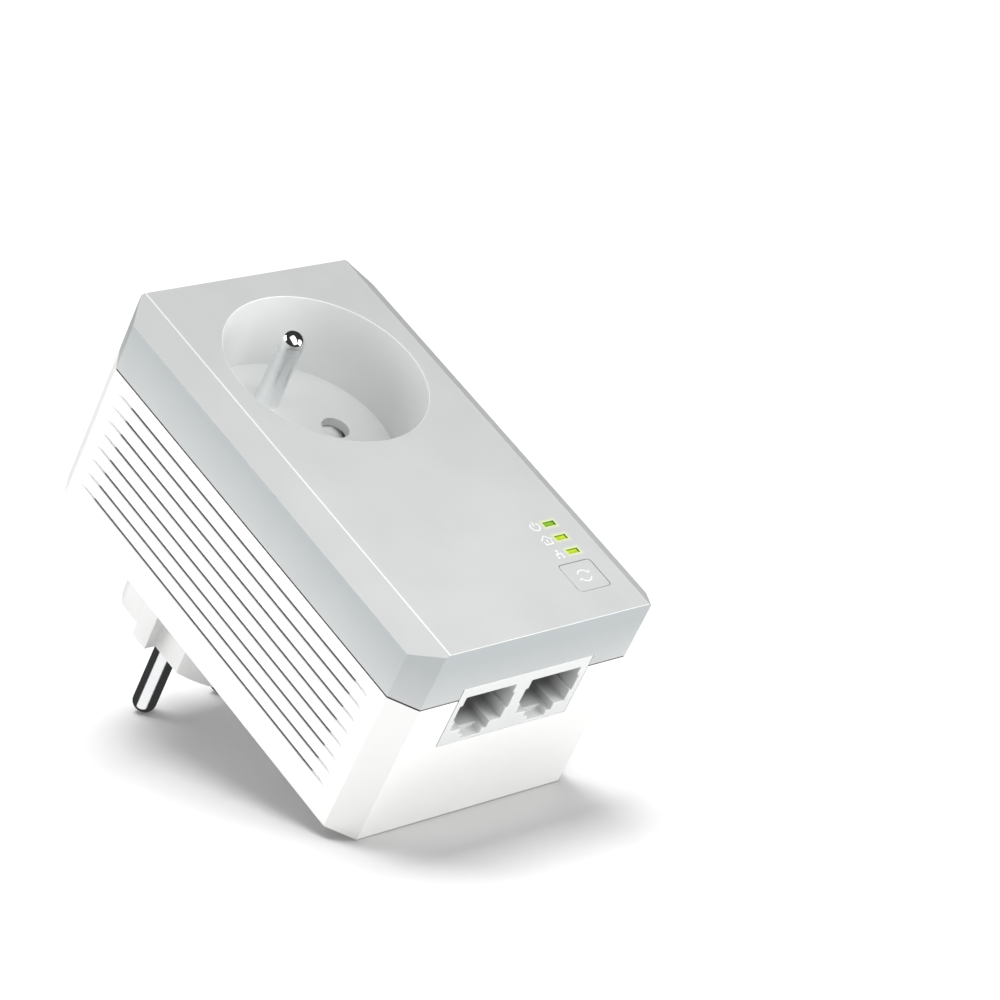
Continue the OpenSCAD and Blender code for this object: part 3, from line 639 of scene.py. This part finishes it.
LABEL_MARGIN = 1.2
LABEL_LINE = 0.2
RULE_INSET = 2
half = (LABEL_HIGH - LABEL_LOW) / 2 / MM - Vector((LABEL_MARGIN, 0, LABEL_MARGIN))
upright = half.z - LABEL_LINE
border = [[(-half.x, side * half.z), (half.x, side * half.z)] for side in (-1, 1)]
border += [[(side * half.x, -upright), (side * half.x, upright)] for side in (-1, 1)]
rules = [[(RULE_INSET - half.x, height), (half.x - RULE_INSET, height)] for height in (-8, -4, 4, 8)]
print_mark("label_lines", border + rules, centre("rating_label"), LABEL_HIGH.y + INK_THICK, LABEL_LINE,
           "case", INK_GREY)


# ---- stage ----

def resting_slope():
    """The object lies on its rear lower edge and the tips of its pins: rise over run of that plane"""
    return min((v.co.z - HOUSING_LOW.z) / (v.co.y - HOUSING_HIGH.y)
               for name in ("live_plug_pin", "neutral_plug_pin") for v in NODES[name].data.vertices
               if v.co.y > 0)


RUN = Vector((0, 1, resting_slope())).normalized()
UP = Vector((1, 0, 0)).cross(RUN)


def floor():
    """A pale sheet of paper just under the resting object"""
    reach = 2.0
    drop = 0.05 * MM
    foot = Vector((0, HOUSING_HIGH.y, HOUSING_LOW.z)) - UP * drop
    corners = [foot + Vector((x * reach, 0, 0)) + RUN * y * reach
               for x, y in ((-1, -1), (1, -1), (1, 1), (-1, 1))]
    data = bpy.data.meshes.new("floor")
    data.from_pydata(corners, [], [(0, 1, 2, 3)])
    obj = bpy.data.objects.new("floor", data)
    bpy.context.scene.collection.objects.link(obj)
    paint = Paint("floor_paper")
    paint.drive("Base Color", paint.mix(paint.span(paint.noise(60), 0, 1), rgb(0.91, 0.91, 0.91),
                                        rgb(0.92, 0.92, 0.92)))
    paint.drive("Roughness", paint.span(paint.noise(20), 0.8, 0.95))
    paint.relief(paint.noise(0.8), 0.001)
    paint.set(Specular_IOR_Level=0.1, Emission_Color=rgb(1, 1, 1), Emission_Strength=0.02)
    # The sheet has no back, so that views from under it see the object
    clear = paint.tree.nodes.new("ShaderNodeBsdfTransparent")
    side = paint.tree.nodes.new("ShaderNodeNewGeometry").outputs["Backfacing"]
    choose = paint.tree.nodes.new("ShaderNodeMixShader")
    end = paint.tree.nodes["Material Output"]
    paint.tree.links.new(side, choose.inputs[0])
    paint.tree.links.new(paint.shader.outputs[0], choose.inputs[1])
    paint.tree.links.new(clear.outputs[0], choose.inputs[2])
    paint.tree.links.new(choose.outputs[0], end.inputs[0])
    dress(obj, paint)
    obj.visible_glossy = False
    return obj


def receivers(name, sheet, state):
    """A group for light linking that takes in or leaves out the floor"""
    group = bpy.data.collections.new(name)
    group.objects.link(sheet)
    group.collection_objects[0].light_linking.link_state = state
    return group


def softbox(name, direction, strength, width, height, lit, distance=3.0):
    """An area light that faces the object's middle. A white face there, square on to it and lit by it
    alone, shows strength. Width and height are for a distance of 1."""
    light = bpy.data.lights.new(name, "AREA")
    light.shape = "RECTANGLE"
    light.size = width * distance
    light.size_y = height * distance
    light.energy = strength * math.pi ** 2 * distance ** 2
    obj = bpy.data.objects.new(name, light)
    bpy.context.scene.collection.objects.link(obj)
    towards = Vector(direction).normalized()
    obj.location = MIDDLE + towards * distance
    obj.rotation_mode = "QUATERNION"
    obj.rotation_quaternion = (-towards).to_track_quat("-Z", "Y")
    obj.light_linking.receiver_collection = lit
    obj.visible_camera = False


def studio_world():
    """Even pale light, a pale backdrop, and little for metal to reflect but the softboxes"""
    world = bpy.data.worlds.new("studio")
    bpy.context.scene.world = world
    world.use_nodes = True
    tree = world.node_tree
    rays = tree.nodes.new("ShaderNodeLightPath")
    even = tree.nodes["Background"]
    even.inputs[0].default_value = rgb(0.995, 0.995, 1.0)
    even.inputs[1].default_value = AMBIENT
    last = even.outputs[0]
    for ray, brightness in (("Is Glossy Ray", 0.04), ("Is Camera Ray", 1.0)):
        other = tree.nodes.new("ShaderNodeBackground")
        other.inputs[0].default_value = rgb(1, 1, 1)
        other.inputs[1].default_value = brightness
        choose = tree.nodes.new("ShaderNodeMixShader")
        tree.links.new(rays.outputs[ray], choose.inputs[0])
        tree.links.new(last, choose.inputs[1])
        tree.links.new(other.outputs[0], choose.inputs[2])
        last = choose.outputs[0]
    tree.links.new(last, tree.nodes["World Output"].inputs[0])


# The camera's place and directions, and the world's strength as light
PLACE = Vector((-462.49, -483.52, -381.41)) * MM
LOOK = Vector((0.6601, 0.5815, 0.4756)).normalized()
RIGHT = Vector((0.7326, -0.3581, -0.5789)).normalized()
AMBIENT = 0.25


def camera():
    data = bpy.data.cameras.new("camera")
    obj = bpy.data.objects.new("camera", data)
    bpy.context.scene.collection.objects.link(obj)
    bpy.context.scene.camera = obj
    up = RIGHT.cross(LOOK).normalized()
    place = Matrix((LOOK.cross(up), up, -LOOK)).transposed().to_4x4()
    place.translation = PLACE
    obj.matrix_world = place
    data.lens = 143.7
    data.sensor_width = 36
    data.clip_start = 0.01
    data.clip_end = 20


sheet = floor()
studio_world()
off_floor = receivers("off_floor", sheet, "EXCLUDE")
on_floor = receivers("on_floor", sheet, "INCLUDE")
softbox("front", (-0.20, -0.92, -0.28), strength=0.75, width=0.8, height=1.7, lit=off_floor, distance=0.25)
softbox("left", (-0.68, -0.03, 0.73), strength=0.86, width=0.9, height=0.9, lit=off_floor)
softbox("right", (0.60, -0.50, -0.62), strength=0.68, width=0.6, height=0.6, lit=off_floor, distance=0.8)
softbox("below", (-0.66, 0.587, -0.467), strength=0.50, width=1.0, height=1.5, lit=off_floor)
softbox("overhead", UP + 0.11 * LOOK - 0.08 * RIGHT, strength=1.23, width=0.7, height=0.7, lit=on_floor,
        distance=6.0)
camera()
bpy.context.scene.view_settings.view_transform = "Standard"
